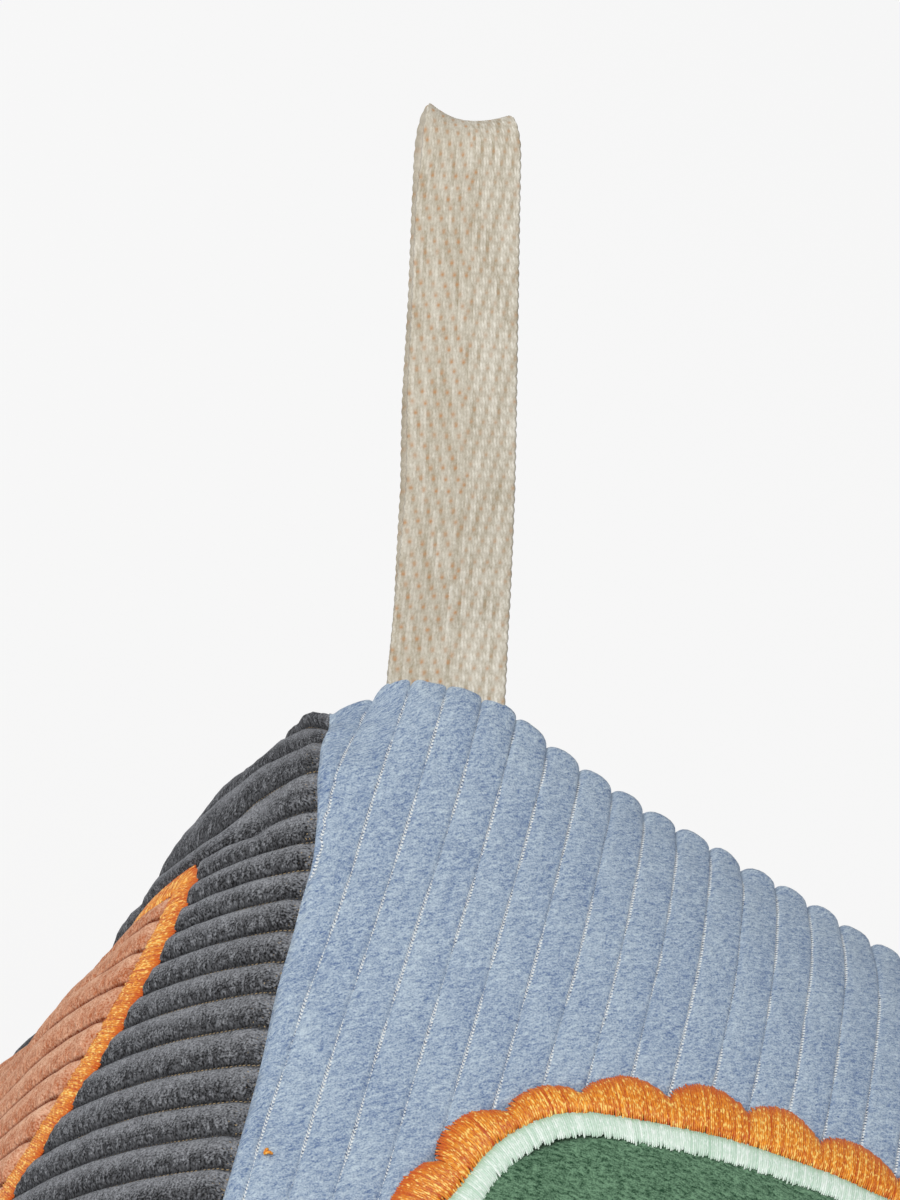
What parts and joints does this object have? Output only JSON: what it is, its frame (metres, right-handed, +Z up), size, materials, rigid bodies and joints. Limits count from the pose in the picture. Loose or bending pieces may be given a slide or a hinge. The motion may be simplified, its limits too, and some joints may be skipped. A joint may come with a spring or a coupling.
{
  "type": "soft fabric block",
  "caption": "Stuffed corduroy cube with satin-stitched fabric patches and a folding twill tape loop sewn in beside one corner, for grasping, stacking and hanging.",
  "frame": {"origin": "middle of the flat on the base panel that the block rests on", "axes": "+Z up, out of the blue top panel; +Y towards the back panel, whose upper seam holds the loop; -X towards the charcoal left panel"},
  "size_m": [0.1863, 0.2116, 0.1997],
  "materials": {
    "white_fibre": "matte",
    "blue_corduroy": "matte",
    "charcoal_corduroy": "matte",
    "peach_corduroy": "matte",
    "green_velvet": "matte",
    "mint_thread": "satin",
    "orange_thread": "satin",
    "natural_tape": "matte",
    "sewing_thread": "satin"
  },
  "bodies": {
    "block": {"filling": "white_fibre", "top_panel": "blue_corduroy", "left_panel": "charcoal_corduroy", "back_panel": "peach_corduroy", "right_panel": "charcoal_corduroy", "front_panel": "peach_corduroy", "base_panel": "blue_corduroy", "velvet_patch": "green_velvet", "mint_outline": "mint_thread", "scalloped_border": "orange_thread", "half_round_patch": "peach_corduroy", "half_round_border": "orange_thread", "round_patch": "blue_corduroy", "round_border": "mint_thread", "square_patch": "green_velvet", "square_border": "mint_thread", "petal_patch": "charcoal_corduroy", "petal_border": "orange_thread", "loop_ends": "natural_tape", "closing_stitches": "sewing_thread"},
    "loop": {"hanging_loop": "natural_tape"}
  },
  "joints": [
    {"name": "loop_fold", "type": "hinge", "parent": "block", "child": "loop", "pos_m": [-0.0655, 0.08035, 0.15965], "axis": [0.8947, 0.3211, 0.3105], "range_deg": [-110, 125], "stiffness_Nm_per_rad": 0.0006}
  ]
}
